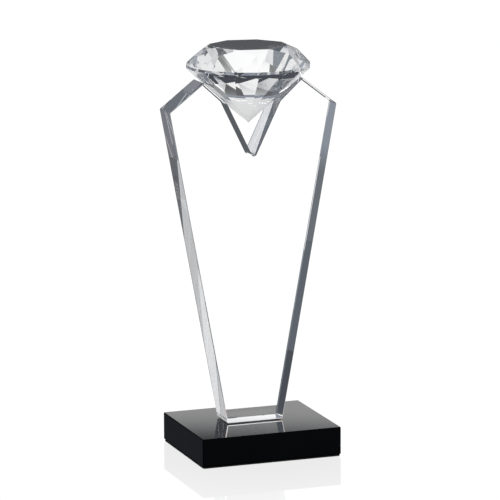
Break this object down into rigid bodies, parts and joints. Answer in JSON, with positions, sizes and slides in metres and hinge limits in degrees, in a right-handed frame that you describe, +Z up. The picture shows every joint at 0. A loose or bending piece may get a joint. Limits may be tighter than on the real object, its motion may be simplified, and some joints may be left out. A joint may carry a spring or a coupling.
{
  "type": "crystal award",
  "caption": "Crystal diamond resting in the notched top of a tapered clear crystal panel, which stands on a black crystal base.",
  "frame": {"origin": "centre of the underside of the base's foam pad, on the table the award stands on", "axes": "+Z up along the award's height, -Y towards the front, +X along the base's long side to the viewer's right"},
  "size_m": [0.1108, 0.0804, 0.2596],
  "materials": {
    "black_crystal": "polished opaque black crystal",
    "black_foam": "matte closed-cell foam",
    "clear_crystal": "polished clear optical crystal",
    "diamond_crystal": "polished clear optical crystal with sharp facets",
    "clear_adhesive": "clear cured adhesive"
  },
  "bodies": {
    "root": {"black_base": "black_crystal", "foam_pad": "black_foam", "crystal_panel": "clear_crystal", "crystal_diamond": "diamond_crystal", "panel_bond": "clear_adhesive", "diamond_bond_left": "clear_adhesive", "diamond_bond_right": "clear_adhesive"}
  },
  "joints": []
}
